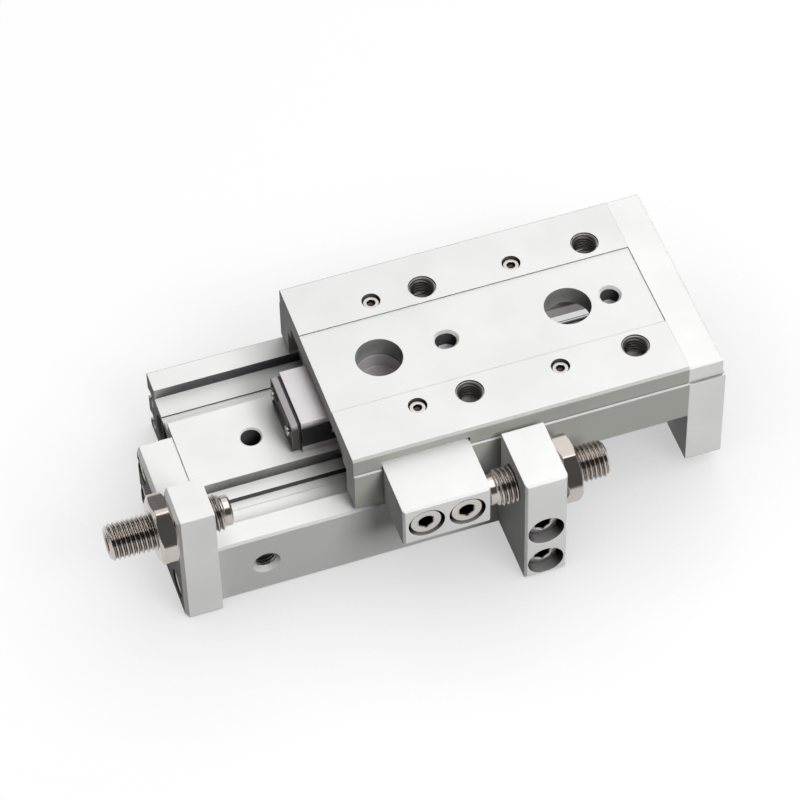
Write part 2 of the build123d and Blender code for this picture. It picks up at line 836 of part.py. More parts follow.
with BuildPart() as piston_near:
    piston(-bore_y)
save(piston_near, "piston_near")

with BuildPart() as piston_far:
    piston(bore_y)
save(piston_far, "piston_far")

with BuildPart() as piston_seals:
    for side in (bore_y, -bore_y):
        for x in seal_x:
            ring((x, side, bore_z), bore_radius - rod_clearance, seal_floor, piston_seal_width)
save(piston_seals, "piston_seals")

with BuildPart() as piston_magnets:
    for side in (bore_y, -bore_y):
        ring((magnet_x, side, bore_z), seal_floor + magnet_wall, seal_floor, magnet_width)
save(piston_magnets, "piston_magnets")

with BuildPart() as piston_bumpers:
    for side in (bore_y, -bore_y):
        ring((piston_front, side, bore_z), bumper_radius, rod_radius + tap_clearance, bumper_thickness)
save(piston_bumpers, "piston_bumpers")


# Adjusters: threaded stop bolts with a plain tip and a key socket at the outer end
def adjuster(tip):
    """The tip plane is at the end that stops the table, facing the table."""
    shank = tip.offset(-adjuster_tip_length)
    with Locations(tip):
        Cylinder(adjuster_tip_radius, adjuster_tip_length, align=(Align.CENTER, Align.CENTER, Align.MAX))
    with Locations(shank):
        Cylinder(
            adjuster_radius,
            adjuster_length - adjuster_tip_length,
            align=(Align.CENTER, Align.CENTER, Align.MAX),
        )
    with BuildSketch(tip.offset(-adjuster_length)) as socket:
        RegularPolygon(adjuster_key / 2, 6, major_radius=False)
    extrude(socket.sketch, amount=adjuster_key_depth, mode=Mode.SUBTRACT)


def lock_nut(seat, turn):
    """The seat plane is the face that the nut presses on, facing the nut."""
    with BuildSketch(seat) as hexagon:
        RegularPolygon(nut_width / 2, 6, major_radius=False, rotation=turn)
        Circle(nut_corner_radius, mode=Mode.INTERSECT)
        Circle(bolt_hole, mode=Mode.SUBTRACT)
    extrude(hexagon.sketch, amount=nut_height)


with BuildPart() as front_adjuster:
    adjuster(facing_rear(front_tip_x, front_axis_y, front_axis_z))
save(front_adjuster, "front_adjuster")

with BuildPart() as front_lock_nut:
    lock_nut(facing_front(holder_front, front_axis_y, front_axis_z), front_nut_turn)
save(front_lock_nut, "front_lock_nut")

with BuildPart() as rear_adjuster:
    adjuster(facing_front(rear_tip_x, rear_axis_y, rear_axis_z))
save(rear_adjuster, "rear_adjuster")

with BuildPart() as rear_lock_nut:
    lock_nut(facing_rear(bracket_rear, rear_axis_y, rear_axis_z), rear_nut_turn)
save(rear_lock_nut, "rear_lock_nut")
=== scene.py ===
import json
import math

import bmesh
import bpy
from mathutils import Matrix, Vector


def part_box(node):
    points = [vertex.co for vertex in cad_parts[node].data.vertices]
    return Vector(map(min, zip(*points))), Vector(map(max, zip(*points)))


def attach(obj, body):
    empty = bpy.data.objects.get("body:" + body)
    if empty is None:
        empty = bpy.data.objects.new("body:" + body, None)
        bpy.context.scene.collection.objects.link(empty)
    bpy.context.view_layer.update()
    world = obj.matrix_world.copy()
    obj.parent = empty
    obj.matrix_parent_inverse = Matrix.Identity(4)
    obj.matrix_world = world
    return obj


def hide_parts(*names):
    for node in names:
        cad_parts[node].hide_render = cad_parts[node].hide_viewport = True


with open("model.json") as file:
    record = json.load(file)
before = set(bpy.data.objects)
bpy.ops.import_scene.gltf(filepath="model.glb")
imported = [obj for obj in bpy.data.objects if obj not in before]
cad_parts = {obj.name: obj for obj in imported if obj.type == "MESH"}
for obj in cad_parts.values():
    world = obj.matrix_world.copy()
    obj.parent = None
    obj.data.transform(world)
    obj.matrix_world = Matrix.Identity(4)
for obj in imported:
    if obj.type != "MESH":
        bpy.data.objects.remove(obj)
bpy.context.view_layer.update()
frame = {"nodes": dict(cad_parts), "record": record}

# The cylinder body: one length of drawn aluminium, bored for two pistons, milled
# on its ends and deck, fine-blasted and clear-anodised. The die leaves faint
# lines along the stroke, and the anodising turns the metal a soft, pale white.
MM = 0.001


def colour(hex_code):
    """Turns an sRGB hex colour to the linear one that a shader takes."""
    channels = [int(hex_code[i:i + 2], 16) / 255 for i in (1, 3, 5)]
    linear = [c / 12.92 if c <= 0.04045 else ((c + 0.055) / 1.055) ** 2.4 for c in channels]
    return (*linear, 1.0)


def put(tree, kind, sockets=None, **settings):
    """Adds a node: its settings, and for each socket a value, or the output that feeds it, or
    a node whose first output feeds it."""
    made = tree.nodes.new(kind)
    for name, value in settings.items():
        setattr(made, name, value)
    for name, value in (sockets or {}).items():
        if isinstance(value, bpy.types.Node):
            value = value.outputs[0]
        if isinstance(value, bpy.types.NodeSocket):
            tree.links.new(value, made.inputs[name])
        else:
            made.inputs[name].default_value = value
    return made


# The numbered sockets of a Mix node for colours, and the output that it gives.
AMOUNT, FIRST, SECOND, MIXED = 0, 6, 7, 2


def broken_edge(radius):
    """A group that rounds a part's edges by radius, and finds how near an edge a point is.
    It compares the rounded normal with the flat one: they agree away from an edge."""
    away, on_edge = 0.995, 0.80
    group = bpy.data.node_groups.new("broken edge", "ShaderNodeTree")
    group.interface.new_socket("Normal", in_out="OUTPUT", socket_type="NodeSocketVector")
    group.interface.new_socket("Edge", in_out="OUTPUT", socket_type="NodeSocketFloat")
    rounded = put(group, "ShaderNodeBevel", {"Radius": radius}, samples=6)
    flat = put(group, "ShaderNodeNewGeometry")
    agreement = put(group, "ShaderNodeVectorMath", {
        0: rounded.outputs["Normal"], 1: flat.outputs["Normal"]}, operation="DOT_PRODUCT")
    edge = put(group, "ShaderNodeMapRange", {
        "Value": agreement.outputs["Value"], "From Min": away, "From Max": on_edge})
    put(group, "NodeGroupOutput", {"Normal": rounded.outputs["Normal"], "Edge": edge.outputs["Result"]})
    return group


EDGE_RADIUS = 0.18 * MM
EDGE = broken_edge(EDGE_RADIUS)


def metal(name, dark, light, roughness, line_length, line_width, grain, depth, edge_shine=0.5,
          metallic=1.0, skin=None, hollow=None, reach=12 * MM, floors=0.0):
    """A worked metal surface. Its tone drifts between two colours over some millimetres.
    Lines of that length and width run along X, and a grain of that size lies over them.
    The near and far sides may be painted another tone as shade. The walls of hollows up to that
    reach carry painted shade, and so do their floors where floors is 1."""
    drift_size = 14 * MM
    noise_low, noise_high = 0.3, 0.7
    skin_starts, skin_full = 0.4, 0.8
    in_the_open, closed_in = 0.84, 0.48
    level_floor, steep_wall = 0.9, 0.5
    smoother, rougher = 0.05, 0.06
    bare_edge = "#FAFAFA"
    edge_polish = -0.12
    finish = bpy.data.materials.new(name)
    finish.use_nodes = True
    tree = finish.node_tree
    shader = tree.nodes["Principled BSDF"]
    where = put(tree, "ShaderNodeTexCoord").outputs["Object"]
    stretch = (1 / line_length, 1 / line_width, 1 / line_width)
    along = put(tree, "ShaderNodeMapping", {"Vector": where, "Scale": stretch})
    lines = put(tree, "ShaderNodeTexNoise", {
        "Vector": along.outputs["Vector"], "Scale": 1.0, "Detail": 2.0})
    specks = put(tree, "ShaderNodeTexNoise", {"Vector": where, "Scale": 1 / grain, "Detail": 1.0})
    drift = put(tree, "ShaderNodeTexNoise", {"Vector": where, "Scale": 1 / drift_size, "Detail": 3.0})
    edge = put(tree, "ShaderNodeGroup", node_tree=EDGE)

    tone = put(tree, "ShaderNodeMapRange", {"Value": drift, "From Min": noise_low, "From Max": noise_high})
    body_colour = put(tree, "ShaderNodeMix", {
        AMOUNT: tone, FIRST: colour(dark), SECOND: colour(light)}, data_type="RGBA")
    lie = put(tree, "ShaderNodeSeparateXYZ", {0: put(tree, "ShaderNodeNewGeometry").outputs["Normal"]})
    # Painted shade: faces that look to the near or far side take a duller tone.
    if skin:
        across = put(tree, "ShaderNodeMath", {0: lie.outputs["Y"]}, operation="ABSOLUTE")
        side_shade_amount = put(tree, "ShaderNodeMapRange", {
            "Value": across, "From Min": skin_starts, "From Max": skin_full})
        body_colour = put(tree, "ShaderNodeMix", {
            AMOUNT: side_shade_amount, FIRST: body_colour.outputs[MIXED], SECOND: colour(skin)}, data_type="RGBA")
    # Painted shade: walls of hollows, and their floors as far as floors says, darken where occlusion closes
    # them in.
    if hollow:
        openness = put(tree, "ShaderNodeAmbientOcclusion", {"Distance": reach}, samples=8, only_local=True)
        depth_in = put(tree, "ShaderNodeMapRange", {
            "Value": openness.outputs["AO"], "From Min": in_the_open, "From Max": closed_in})
        level = put(tree, "ShaderNodeMath", {0: lie.outputs["Z"]}, operation="ABSOLUTE")
        upright = put(tree, "ShaderNodeMapRange", {
            "Value": level, "From Min": level_floor, "From Max": steep_wall, "To Min": floors})
        hollow_shade_amount = put(tree, "ShaderNodeMath", {0: depth_in, 1: upright}, operation="MULTIPLY")
        body_colour = put(tree, "ShaderNodeMix", {
            AMOUNT: hollow_shade_amount, FIRST: body_colour.outputs[MIXED], SECOND: colour(hollow)}, data_type="RGBA")
    worn = put(tree, "ShaderNodeMath", {0: edge.outputs["Edge"], 1: edge_shine}, operation="MULTIPLY")
    worn_colour = put(tree, "ShaderNodeMix", {
        AMOUNT: worn, FIRST: body_colour.outputs[MIXED], SECOND: colour(bare_edge)}, data_type="RGBA")
    tree.links.new(worn_colour.outputs[MIXED], shader.inputs["Base Color"])

    mixed = put(tree, "ShaderNodeMath", {0: lines, 1: specks}, operation="ADD")
    satin = put(tree, "ShaderNodeMapRange", {
        "Value": mixed, "From Min": 2 * noise_low, "From Max": 2 * noise_high,
        "To Min": roughness - smoother, "To Max": roughness + rougher})
    rubbed = put(tree, "ShaderNodeMath", {0: worn, 1: edge_polish, 2: satin}, operation="MULTIPLY_ADD")
    tree.links.new(rubbed.outputs[0], shader.inputs["Roughness"])

    relief = put(tree, "ShaderNodeBump", {
        "Height": mixed, "Distance": depth, "Strength": 1.0,
        "Normal": edge.outputs["Normal"]})
    tree.links.new(relief.outputs["Normal"], shader.inputs["Normal"])
    shader.inputs["Metallic"].default_value = metallic
    return finish


def dress(material, *names):
    """Gives CAD nodes their material."""
    for name in names:
        slots = frame["nodes"][name].data.materials
        slots.clear()
        slots.append(material)


# Blasting grit leaves pits of about 0.05 mm; they are drawn at 0.2 mm to show.
# Under its clear oxide the pitted metal scatters most light, like a matt paint.
# Painted shade makes the near and far sides duller where asked, and darkens bores inside.
def anodised(name, dark, light, roughness, line_length, line_width, depth, **more):
    """Clear-anodised aluminium: its oxide scatters the light and dulls the metal's mirror."""
    finish = metal(name, dark, light, roughness, line_length, line_width, grain=0.2 * MM, depth=depth,
                   edge_shine=0.3, metallic=0.15, **more)
    sockets = finish.node_tree.nodes["Principled BSDF"].inputs
    sockets["Specular IOR Level"].default_value = 0.0
    sockets["Specular Tint"].default_value = colour("#606060")
    return finish


# Painted shade greys its near and far sides and darkens the walls of its bores and channels.
anodised_extrusion = anodised(
    "clear_anodised_extrusion", "#D9D9D8", "#E0E0DF", 0.42, line_length=22 * MM, line_width=0.4 * MM,
    depth=0.0022 * MM, skin="#BBBBB9", hollow="#4A4A4C")
dress(anodised_extrusion, "body")

# The cylinder covers and the pistons: turned aluminium, the covers held in the bores
# by snap rings of phosphated spring steel. The pistons' magnets look as dark as the
# rings, and the seals are black nitrile rubber, dull and slightly soft to the eye.
turned_aluminium = metal(
    "turned_aluminium", "#C0C1C1", "#CDCECE", 0.34,
    line_length=0.12 * MM, line_width=0.5 * MM, grain=0.3 * MM, depth=0.0004 * MM)
dress(turned_aluminium, "head_cover_near", "head_cover_far", "rod_cover_near", "rod_cover_far",
      "piston_near", "piston_far")
phosphated_steel = metal(
    "phosphated_spring_steel", "#3C3C3E", "#4A4A4C", 0.42,
    line_length=0.3 * MM, line_width=0.3 * MM, grain=0.12 * MM, depth=0.002 * MM, edge_shine=0.25)
dress(phosphated_steel, "retaining_rings", "piston_magnets")


def moulded(name, dark, light, roughness, pore, depth, lit_top=None):
    """A moulded resin or rubber, with a slight cloud in its tone and fine pores. Its top may be
    painted paler as light from above."""
    cloud_size = 3 * MM
    sheen_change = 0.08
    side_on, flat_on = 0.4, 0.9
    finish = bpy.data.materials.new(name)
    finish.use_nodes = True
    tree = finish.node_tree
    shader = tree.nodes["Principled BSDF"]
    where = put(tree, "ShaderNodeTexCoord").outputs["Object"]
    cloud = put(tree, "ShaderNodeTexNoise", {"Vector": where, "Scale": 1 / cloud_size, "Detail": 2.0})
    pores = put(tree, "ShaderNodeTexNoise", {"Vector": where, "Scale": 1 / pore, "Detail": 1.0})
    edge = put(tree, "ShaderNodeGroup", node_tree=EDGE)
    tone = put(tree, "ShaderNodeMix", {
        AMOUNT: cloud, FIRST: colour(dark), SECOND: colour(light)}, data_type="RGBA")
    # Painted light: faces that look up take the paler tone.
    if lit_top:
        lie = put(tree, "ShaderNodeSeparateXYZ", {0: put(tree, "ShaderNodeNewGeometry").outputs["Normal"]})
        top = put(tree, "ShaderNodeMapRange", {
            "Value": lie.outputs["Z"], "From Min": side_on, "From Max": flat_on})
        tone = put(tree, "ShaderNodeMix", {
            AMOUNT: top, FIRST: tone.outputs[MIXED], SECOND: colour(lit_top)}, data_type="RGBA")
    tree.links.new(tone.outputs[MIXED], shader.inputs["Base Color"])
    sheen = put(tree, "ShaderNodeMapRange", {
        "Value": pores, "To Min": roughness - sheen_change, "To Max": roughness + sheen_change})
    tree.links.new(sheen.outputs[0], shader.inputs["Roughness"])
    relief = put(tree, "ShaderNodeBump", {
        "Height": pores, "Distance": depth, "Strength": 1.0,
        "Normal": edge.outputs["Normal"]})
    tree.links.new(relief.outputs["Normal"], shader.inputs["Normal"])
    return finish


nitrile_rubber = moulded("nitrile_rubber", "#141415", "#1D1D1E", 0.62, 0.15 * MM, 0.004 * MM)
dress(nitrile_rubber, "cover_o_rings", "rod_seals", "piston_seals")
# The bumpers are cast urethane: amber-brown and a little translucent to the eye.
urethane = moulded("urethane_bumper", "#3A3020", "#4A3D28", 0.5, 0.2 * MM, 0.003 * MM)
dress(urethane, "piston_bumpers")

# The air ports: two holes tapped M5 in the body's near side. Each shows the
# bright crests of a cut thread, as a fine liner just inside the drilled wall.


def add_rings(shape, levels, sides, closed=False):
    """Adds rings of points about X, in mm, and the faces between them. A level is an x and a
    radius, either of them a number or a rule of the turn, and sometimes a recess value."""
    recess = shape.verts.layers.float.get("recess")
    rings = []
    for x, radius, *inside in levels:
        ring = []
        for turn in [2 * math.pi * k / sides for k in range(sides)]:
            at = x(turn) if callable(x) else x
            r = radius(turn) if callable(radius) else radius
            vert = shape.verts.new(Vector((at, r * math.cos(turn), r * math.sin(turn))) * MM)
            if inside:
                vert[recess] = inside[0]
            ring.append(vert)
        rings.append(ring)
    for low, high in zip(rings, rings[1:] + rings[:1] if closed else rings[1:]):
        for k in range(sides):
            shape.faces.new((low[k], low[k - 1], high[k - 1], high[k]))
    return rings


def new_piece(name, shape):
    """Makes a piece of a finished shape and adds it to the scene."""
    mesh = bpy.data.meshes.new(name)
    shape.to_mesh(mesh)
    shape.free()
    piece = bpy.data.objects.new(name, mesh)
    bpy.context.scene.collection.objects.link(piece)
    return piece


def new_tree(name, inputs):
    """A Geometry Nodes tree with named inputs. Gives the tree and its input node."""
    tree = bpy.data.node_groups.new(name, "GeometryNodeTree")
    tree.interface.new_socket("Geometry", in_out="INPUT", socket_type="NodeSocketGeometry")
    for label, kind in inputs:
        tree.interface.new_socket(label, in_out="INPUT", socket_type=kind)
    tree.interface.new_socket("Geometry", in_out="OUTPUT", socket_type="NodeSocketGeometry")
    return tree, put(tree, "NodeGroupInput").outputs


def thread_tree():
    """A screw thread as one grid wound about X, and joined to the piece's own end rings.
    Where the crest radius is the smaller, it is an internal thread."""
    tree, given = new_tree("cut thread", (
        ("Length", "NodeSocketFloat"), ("Pitch", "NodeSocketFloat"),
        ("Root Radius", "NodeSocketFloat"), ("Crest Radius", "NodeSocketFloat"),
        ("Lead In", "NodeSocketFloat"), ("Around", "NodeSocketInt"), ("Rows", "NodeSocketInt"),
        ("Material", "NodeSocketMaterial")))
    root_end, crest_start = 0.08, 0.44
    columns = put(tree, "ShaderNodeMath", {0: given["Around"], 1: 1.0}, operation="ADD")
    grid = put(tree, "GeometryNodeMeshGrid", {
        "Size X": 1.0, "Size Y": 1.0, "Vertices X": columns, "Vertices Y": given["Rows"]})
    place = put(tree, "ShaderNodeSeparateXYZ", {0: grid.outputs["UV Map"]})
    along = put(tree, "ShaderNodeMath", {0: place.outputs["Y"], 1: given["Length"]}, operation="MULTIPLY")
    turned = put(tree, "ShaderNodeMath", {0: along, 1: given["Pitch"]}, operation="DIVIDE")
    phase = put(tree, "ShaderNodeMath", {0: turned, 1: place.outputs["X"]}, operation="SUBTRACT")
    wave = put(tree, "ShaderNodeMath", {0: phase, 1: 0.5}, operation="PINGPONG")
    flank = put(tree, "ShaderNodeMapRange", {"Value": wave, "From Min": root_end, "From Max": crest_start})
    other_end = put(tree, "ShaderNodeMath", {0: given["Length"], 1: along}, operation="SUBTRACT")
    from_end = put(tree, "ShaderNodeMath", {0: along, 1: other_end}, operation="MINIMUM")
    run_out = put(tree, "ShaderNodeMath", {0: from_end, 1: given["Lead In"]}, operation="DIVIDE")
    height = put(tree, "ShaderNodeMath", {0: flank, 1: run_out}, operation="MINIMUM")
    depth = put(tree, "ShaderNodeMath", {
        0: given["Crest Radius"], 1: given["Root Radius"]}, operation="SUBTRACT")
    radius = put(tree, "ShaderNodeMath", {
        0: height, 1: depth, 2: given["Root Radius"]}, operation="MULTIPLY_ADD")
    angle = put(tree, "ShaderNodeMath", {0: place.outputs["X"], 1: 2 * math.pi}, operation="MULTIPLY")
    cosine = put(tree, "ShaderNodeMath", {0: angle}, operation="COSINE")
    sine = put(tree, "ShaderNodeMath", {0: angle}, operation="SINE")
    across = put(tree, "ShaderNodeMath", {0: radius, 1: cosine}, operation="MULTIPLY")
    up = put(tree, "ShaderNodeMath", {0: radius, 1: sine}, operation="MULTIPLY")
    wound = put(tree, "ShaderNodeCombineXYZ", {0: along, 1: across, 2: up})
    thread = put(tree, "GeometryNodeSetPosition", {"Geometry": grid, "Position": wound})
    whole = put(tree, "GeometryNodeJoinGeometry")
    tree.links.new(given["Geometry"], whole.inputs[0])
    tree.links.new(thread.outputs[0], whole.inputs[0])
    welded = put(tree, "GeometryNodeMergeByDistance", {"Geometry": whole, "Distance": WELD})
    real = put(tree, "GeometryNodeRealizeInstances", {0: welded})
    finished = put(tree, "GeometryNodeSetMaterial", {"Geometry": real, "Material": given["Material"]})
    put(tree, "NodeGroupOutput", {"Geometry": finished})
    return tree


def grow(piece, tree, sizes):
    """Runs a tree on a piece with these inputs, and keeps the result as its plain mesh."""
    grower = piece.modifiers.new("grow", "NODES")
    grower.node_group = tree
    for item in tree.interface.items_tree:
        if item.item_type == "SOCKET" and item.in_out == "INPUT" and item.name in sizes:
            grower[item.identifier] = sizes[item.name]
    bpy.context.view_layer.update()
    ready = piece.evaluated_get(bpy.context.evaluated_depsgraph_get())
    made = bpy.data.meshes.new_from_object(ready)
    piece.modifiers.remove(grower)
    piece.data = made


def finish_mesh(piece, place, sharp_over=35):
    """Turns a piece's faces outwards, moves its mesh to its place on the part, and smooths it.
    Edges that turn by more than sharp_over degrees stay sharp."""
    shape = bmesh.new()
    shape.from_mesh(piece.data)
    bmesh.ops.recalc_face_normals(shape, faces=shape.faces)
    bmesh.ops.transform(shape, matrix=place, verts=shape.verts)
    shape.to_mesh(piece.data)
    shape.free()
    for face in piece.data.polygons:
        face.use_smooth = True
    piece.data.set_sharp_from_angle(angle=math.radians(sharp_over))
    piece.data.update()


def facing(point, axis):
    """A matrix that puts a piece made about X at a point in mm, with its X along axis."""
    forward = Vector(axis).normalized()
    side = Vector((0, 0, 1)) if abs(forward.z) < 0.9 else Vector((0, 1, 0))
    across = side.cross(forward).normalized()
    up = forward.cross(across)
    turn = Matrix((forward, across, up)).transposed().to_4x4()
    return Matrix.Translation(Vector(point) * MM) @ turn


WELD = 0.002 * MM
STEPS_A_TURN = 10
THREAD = thread_tree()


def cut_thread(piece, material, length, pitch, root, crest, lead_in, sides):
    """Grows a thread on a piece, in mm along X from its origin, and joins the two."""
    grow(piece, THREAD, {
        "Length": length * MM, "Pitch": pitch * MM, "Root Radius": root * MM, "Crest Radius": crest * MM,
        "Lead In": lead_in * MM, "Around": sides, "Rows": int(length / pitch * STEPS_A_TURN),
        "Material": material})


# A cut stainless thread shows bright crests over roots painted dark as shade, and
# one tapped in aluminium is duller, its deep inside painted near black as shade.
cut_steel = metal(
    "cut_steel_thread", "#A9A6A2", "#B8B5B0", 0.34,
    line_length=0.3 * MM, line_width=0.3 * MM, grain=0.3 * MM, depth=0.0002 * MM, hollow="#0C0B0B",
    reach=2 * MM, floors=1.0)
tapped_aluminium = metal(
    "tapped_aluminium", "#8E8C8A", "#9C9A98", 0.34,
    line_length=0.3 * MM, line_width=0.3 * MM, grain=0.3 * MM, depth=0.0002 * MM, hollow="#181717",
    reach=3 * MM, floors=1.0)
port_wall = 2.06
port_skin = 0.03
port_crest = 1.86
port_length = 3.4
port_pitch = 0.8
port_lead_in = 0.35
port_sides = 40
mounts = {mount["name"]: mount for mount in frame["record"]["mounts"]}
for end in ("rear", "front"):
    shape = bmesh.new()
    add_rings(shape, [
        (0, port_wall), (0, port_wall + port_skin), (port_length, port_wall + port_skin),
        (port_length, port_wall)], port_sides)
    liner = new_piece(f"port_thread_{end}", shape)
    cut_thread(liner, tapped_aluminium, port_length, port_pitch, port_wall, port_crest, port_lead_in,
               port_sides)
    middle = Vector(mounts[f"port_{end}"]["pos_m"]) / MM
    outwards = Vector(mounts[f"port_{end}"]["axis"])
    finish_mesh(liner, facing(middle - outwards * port_length / 2, outwards))
    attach(liner, "base")

# The guide block: hardened bearing steel, ground on its top and flanks, with the
# loaded balls running along both sides behind black resin strips. The grinding
# wheel leaves fine straight lines along the stroke and a cool, mirror-like grey.
ground_steel = metal(
    "ground_bearing_steel", "#C3BEC0", "#CEC9CB", 0.32,
    line_length=9 * MM, line_width=0.3 * MM, grain=0.3 * MM, depth=0.0001 * MM, metallic=0.6)
dress(ground_steel, "guide_block", "guide_balls")
# Moulded acetal is a soft black with a slight sheen. The seal plates over it are a
# dark rubbed plastic, whose flat top is painted pale grey as light from above.
black_acetal = moulded("black_acetal", "#121213", "#1A1A1C", 0.4, 0.12 * MM, 0.002 * MM)
dress(black_acetal, "ball_retainers", "end_cap_rear", "end_cap_front")
seal_plate = moulded("dark_seal_plate", "#3C3738", "#4A4546", 0.36, 0.25 * MM, 0.004 * MM, lit_top="#949091")
dress(seal_plate, "end_seal_rear", "end_seal_front")

# Socket-head cap screws: cold-headed alloy steel with a bright plating. Each head
# has a rolled chamfer, and a hexagon socket painted dark inside as shade.
SCREW_SIDES = 36
X_TO_Z = Matrix(((0, 1, 0), (0, 0, 1), (1, 0, 0))).to_4x4()


def hexagon(across):
    """The rule for a hexagon's radius at a turn from the middle of a flat, from its width over
    the flats."""
    def radius(turn):
        return across / 2 / math.cos((turn + math.pi / 6) % (math.pi / 3) - math.pi / 6)
    return radius


def socket_screw(name, head, height, shank, grip, key):
    """One screw along Z in mm, its seat at the origin: shank, head, chamfer and socket. Head and
    shank are radii, and key is over the flats."""
    chamfer = 0.09 * head
    lip = 0.06 * head
    mouth = hexagon(key)(math.pi / 6) + lip
    point = 0.4 * shank
    socket_floor = 0.45 * height
    drill_tip = 0.1 * height
    shape = bmesh.new()
    shape.verts.layers.float.new("recess")
    rings = add_rings(shape, [
        (-grip, 0.6 * shank), (point - grip, shank), (0, shank), (0, head - 0.5 * chamfer),
        (0.5 * chamfer, head), (height - chamfer, head), (height - 0.35 * chamfer, head - 0.35 * chamfer),
        (height, head - chamfer), (height, mouth), (height - 0.07 * head, hexagon(key), 0.6),
        (height - 0.3 * head, hexagon(key), 1.0), (socket_floor, hexagon(key), 1.0),
        (socket_floor - drill_tip, 0.2 * key, 1.0)], SCREW_SIDES)
    shape.faces.new(rings[0])
    shape.faces.new(rings[-1])
    bmesh.ops.transform(shape, matrix=X_TO_Z, verts=shape.verts)
    return new_piece(name, shape)


def screw_tree():
    """Sets one screw on every point, along the direction that the point holds."""
    tree, given = new_tree("set screws", (
        ("Screw", "NodeSocketObject"), ("Material", "NodeSocketMaterial")))
    pattern = put(tree, "GeometryNodeObjectInfo", {"Object": given["Screw"], "As Instance": True})
    way = put(tree, "GeometryNodeInputNamedAttribute", {"Name": "way"}, data_type="FLOAT_VECTOR")
    turn = put(tree, "FunctionNodeAlignRotationToVector", {"Vector": way.outputs["Attribute"]}, axis="Z")
    rows = put(tree, "GeometryNodeInstanceOnPoints", {
        "Points": given["Geometry"], "Instance": pattern.outputs["Geometry"],
        "Rotation": turn.outputs["Rotation"]})
    real = put(tree, "GeometryNodeRealizeInstances", {0: rows})
    finished = put(tree, "GeometryNodeSetMaterial", {"Geometry": real, "Material": given["Material"]})
    put(tree, "NodeGroupOutput", {"Geometry": finished})
    return tree


def socket_shaded_steel(name, dark, light, roughness, **more):
    """Plated steel whose sockets are painted dark inside as shade, by the screw's own recess value."""
    finish = metal(name, dark, light, roughness, line_length=0.3 * MM, line_width=0.3 * MM,
                   grain=0.12 * MM, depth=0.0012 * MM, **more)
    tree = finish.node_tree
    shader = tree.nodes["Principled BSDF"]
    plain = shader.inputs["Base Color"].links[0].from_socket
    recess = put(tree, "ShaderNodeAttribute", attribute_name="recess")
    shaded = put(tree, "ShaderNodeMix", {
        AMOUNT: recess.outputs["Fac"], FIRST: plain, SECOND: colour("#423833")}, data_type="RGBA")
    tree.links.new(shaded.outputs[MIXED], shader.inputs["Base Color"])
    return finish


SCREWS = screw_tree()
plated_steel = socket_shaded_steel("plated_screw_steel", "#BDBAB5", "#CCC9C4", 0.24)


def solids(node):
    """The lowest and highest corner, in mm, of each separate solid of a CAD node, from the rear
    and the far side on."""
    shape = bmesh.new()
    shape.from_mesh(frame["nodes"][node].data)
    bmesh.ops.remove_doubles(shape, verts=shape.verts, dist=0.001 * MM)
    waiting = set(shape.verts)
    corners = []
    while waiting:
        solid = [waiting.pop()]
        for vert in solid:
            for edge in vert.link_edges:
                other = edge.other_vert(vert)
                if other in waiting:
                    waiting.remove(other)
                    solid.append(other)
        spans = [[vert.co[axis] / MM for vert in solid] for axis in range(3)]
        corners.append((Vector([min(span) for span in spans]), Vector([max(span) for span in spans])))
    shape.free()
    return sorted(corners, key=lambda box: (round(box[0].x, 1), -round(box[0].y, 1), round(box[0].z, 1)))


def seats(node, depth, *ways):
    """For each solid of a CAD node, the point at that depth in mm under its outer end, with the
    way that the end faces: of the ways given, the one that leads out from the node's middle."""
    low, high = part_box(node)
    heart = (Vector(low) + Vector(high)) / 2 / MM
    found = []
    for bottom, top in solids(node):
        middle = (bottom + top) / 2
        way = max((Vector(way) for way in ways), key=lambda out: out.dot(middle - heart))
        found.append((middle + way * (abs(way.dot(top - bottom)) / 2 - depth), way))
    return found


def set_screws(node, body, sizes, *ways, sunk=0.0):
    """Stands screws of these sizes in place of a CAD node's, each facing one of the ways, with
    its head's top sunk by so many mm."""
    pattern = socket_screw(node + "_pattern", **sizes)
    places = seats(node, sizes["height"] + sunk, *ways)
    mesh = bpy.data.meshes.new(node + "_set")
    mesh.from_pydata([point * MM for point, _ in places], [], [])
    facings = mesh.attributes.new("way", "FLOAT_VECTOR", "POINT")
    facings.data.foreach_set("vector", [c for _, way in places for c in way])
    row = bpy.data.objects.new(node + "_set", mesh)
    bpy.context.scene.collection.objects.link(row)
    grow(row, SCREWS, {"Screw": pattern, "Material": plated_steel})
    bpy.data.objects.remove(pattern)
    finish_mesh(row, Matrix(), sharp_over=28)
    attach(row, body)
    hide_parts(node)


UP, NEAR, REAR, FRONT = (0, 0, 1), (0, -1, 0), (-1, 0, 0), (1, 0, 0)
# Cap screws in mm, an M3, an M4 and the tiny ones of the end caps: the radius and height of
# the head, the radius of the shank and the key's width.
M3 = dict(head=2.75, height=3.0, shank=1.45, key=2.5)
M4 = dict(head=3.4, height=4.0, shank=1.95, key=3.0)
TINY = dict(head=1.1, height=0.6, shank=0.6, key=0.9)
set_screws("guide_block_screws", "base", dict(M4, height=3.2, grip=9.5), UP)
set_screws("end_cap_screws", "base", dict(TINY, grip=2.0), REAR, FRONT)

# The adjuster holder and the rear bracket: milled aluminium blocks, clear-anodised.
# Two sunk cap screws hold the holder to the body's side, and three hold the
# bracket to its end. A mill leaves no drawn lines, so the blocks look even.
# Painted shade darkens the walls and floors of the blocks' counterbores, holes and gaps.
anodised_block = anodised(
    "clear_anodised_block", "#D9D9D8", "#E0E0DF", 0.38, line_length=0.5 * MM, line_width=0.5 * MM,
    depth=0.002 * MM, hollow="#2C2B2B", floors=0.8)
dress(anodised_block, "adjuster_holder", "rear_bracket")
set_screws("adjuster_holder_screws", "base", dict(M4, grip=14.2), NEAR)
set_screws("rear_bracket_screws", "base", dict(M3, grip=13.4), REAR)
